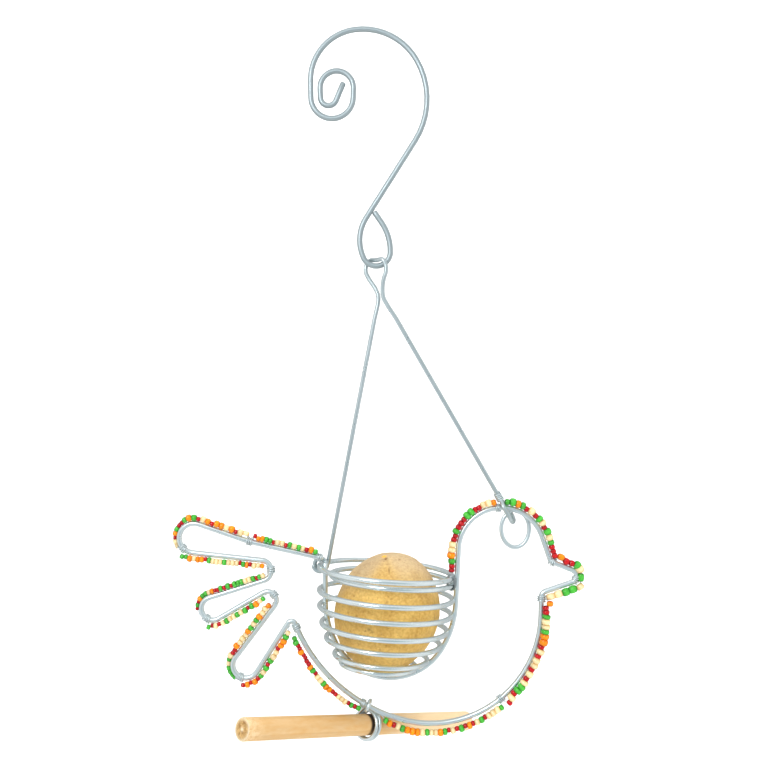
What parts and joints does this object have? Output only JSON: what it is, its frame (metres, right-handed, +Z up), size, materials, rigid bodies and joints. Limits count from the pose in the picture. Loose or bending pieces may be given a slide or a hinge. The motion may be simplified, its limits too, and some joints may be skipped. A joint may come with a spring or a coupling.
{
  "type": "bird suet feeder",
  "caption": "Hanging bird feeder of bent wire shaped as a bird, with beaded outline, wire-ring basket holding a suet ball, wooden dowel perch, hanger and scrolled hook.",
  "frame": {"origin": "inside top of the hook's bow, where it rests on a branch", "axes": "+Z up along the hook, +X towards the bird's beak, +Y away from the viewer, out of the bird's flat plane"},
  "size_m": [0.2371, 0.1375, 0.4269],
  "materials": {
    "galvanised_wire": "galvanised, drawn",
    "tie_wire": "thin annealed wire",
    "pine": "bare",
    "suet": "crumbly suet",
    "bead_glass": "glossy glass"
  },
  "bodies": {
    "hook": {"hook": "galvanised_wire"},
    "hanger": {"hanger": "galvanised_wire", "tie_hanger": "tie_wire"},
    "suet": {"suet_ball": "suet"},
    "perch_loop": {"perch_coil": "galvanised_wire"},
    "perch": {"perch_dowel": "pine"},
    "bird": {"body_frame": "galvanised_wire", "rim_ring_upper": "galvanised_wire", "rim_ring_lower": "galvanised_wire", "basket_ring_1": "galvanised_wire", "basket_ring_2": "galvanised_wire", "basket_ring_3": "galvanised_wire", "basket_ring_4": "galvanised_wire", "basket_ring_5": "galvanised_wire", "basket_ring_6": "galvanised_wire", "eye_ring": "galvanised_wire", "tie_tail_top": "tie_wire", "tie_tail_tip_one": "tie_wire", "tie_tail_notch_one": "tie_wire", "tie_tail_tip_two": "tie_wire", "tie_tail_notch_two": "tie_wire", "tie_tail_tip_three": "tie_wire", "tie_rump": "tie_wire", "tie_breast": "tie_wire", "tie_beak_root": "tie_wire", "tie_beak_tip": "tie_wire", "tie_brow": "tie_wire", "beads_tail_top_inner": "bead_glass", "beads_tail_top_outer": "bead_glass", "beads_tail_one_under": "bead_glass", "beads_tail_two_over": "bead_glass", "beads_tail_two_under": "bead_glass", "beads_tail_three_over": "bead_glass", "beads_tail_three_under": "bead_glass", "beads_belly_tail": "bead_glass", "beads_belly_breast": "bead_glass", "beads_breast": "bead_glass", "beads_beak_under": "bead_glass", "beads_beak_over": "bead_glass", "beads_head_front": "bead_glass", "beads_head_back": "bead_glass", "tie_rim": "tie_wire"}
  },
  "joints": [
    {"name": "hanger_swing", "type": "hinge", "parent": "hook", "child": "hanger", "pos_m": [0.0059, 0, -0.126], "axis": [0, 1, 0], "range_deg": [-25, 25]},
    {"name": "bird_rock", "type": "hinge", "parent": "hanger", "child": "bird", "pos_m": [-0.02614, 0.00595, -0.30561], "axis": [0.9511, -0.0539, 0.3042], "range_deg": [-10, 10]},
    {"name": "suet_lift", "type": "slide", "parent": "bird", "child": "suet", "axis": [0.0785, 0, 0.9969], "range_m": [0, 0.035]},
    {"name": "perch_swivel", "type": "hinge", "parent": "bird", "child": "perch_loop", "pos_m": [0.00106, 0, -0.38525], "axis": [0, 0, 1], "range_deg": [-15, 30]},
    {"name": "perch_slide", "type": "slide", "parent": "perch_loop", "child": "perch", "axis": [0.6769, 0.7009, -0.225], "range_m": [-0.05, 0.05]}
  ]
}
